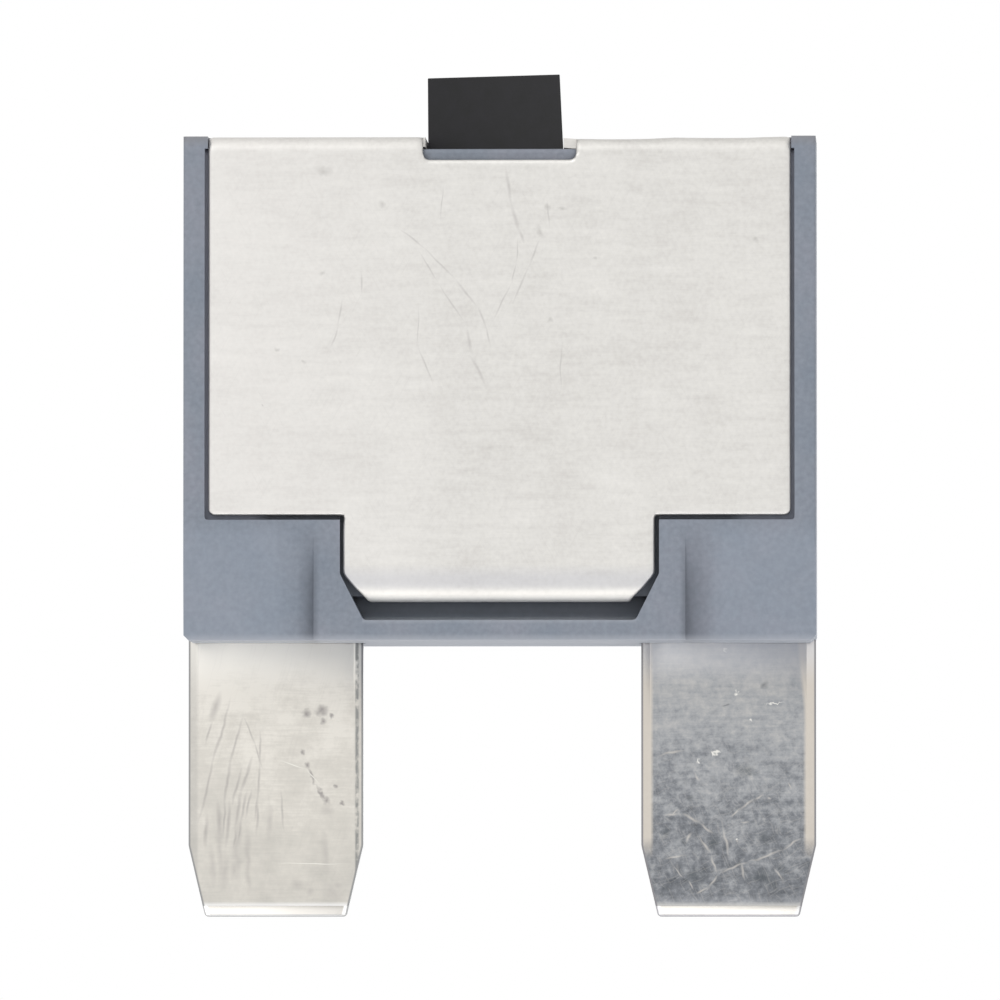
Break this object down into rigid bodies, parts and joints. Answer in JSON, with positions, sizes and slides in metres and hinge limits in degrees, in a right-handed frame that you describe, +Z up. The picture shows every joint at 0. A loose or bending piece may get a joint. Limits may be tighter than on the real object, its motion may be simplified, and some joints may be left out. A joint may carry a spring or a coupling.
{
  "type": "automotive circuit breaker",
  "caption": "Plug-in automotive circuit breaker with two flat blade terminals, a folded metal cover over a plastic case and a push button that resets it.",
  "frame": {"origin": "middle of the plastic case's underside, where the breaker seats on its holder", "axes": "+X to the right across the two blades as seen from the front, +Y from the front face to the rear, +Z up from the blades to the reset button"},
  "size_m": [0.0292, 0.012, 0.0389],
  "materials": {
    "case_plastic": "moulded blue-grey thermoset plastic, faintly rough",
    "cover_sheet": "satin rolled aluminium sheet with fine scratches",
    "button_plastic": "moulded black plastic, fine matt",
    "bright_tin": "bright tin plating on brass, scratched by plugging in",
    "dull_tin": "dull mottled tin plating on brass, scratched by plugging in",
    "contact_silver": "silver alloy, fine matt",
    "bimetal": "rolled bimetal, satin",
    "spring_wire": "drawn stainless steel",
    "brass": "turned brass, satin"
  },
  "bodies": {
    "housing": {"front_case": "case_plastic", "rear_case": "case_plastic", "cover_clip": "cover_sheet", "left_reset_spring": "spring_wire", "right_reset_spring": "spring_wire", "left_terminal": "bright_tin", "right_terminal": "dull_tin", "fixed_contact": "contact_silver", "clamp_plate": "spring_wire", "upper_clamp_rivet": "brass", "lower_clamp_rivet": "brass", "calibration_screw": "brass"},
    "button": {"reset_button": "button_plastic"},
    "contact_arm": {"moving_contact": "contact_silver", "bimetal_strip": "bimetal"}
  },
  "joints": [
    {"name": "reset_press", "type": "slide", "parent": "housing", "child": "button", "axis": [0, 0, 1], "range_m": [-0.0024, 0], "stiffness_N_per_m": 1000, "springref_m": 0.003, "deforming": ["left_reset_spring", "right_reset_spring"]},
    {"name": "contact_swing", "type": "hinge", "parent": "housing", "child": "contact_arm", "pos_m": [0.00425, -0.00075, 0.013], "axis": [0, 0, 1], "range_deg": [-12.2, 0], "deforming": ["bimetal_strip"]}
  ],
  "couplings": [
    {"joint": "contact_swing", "follows": "reset_press", "rad_per_m": 88.235}
  ]
}
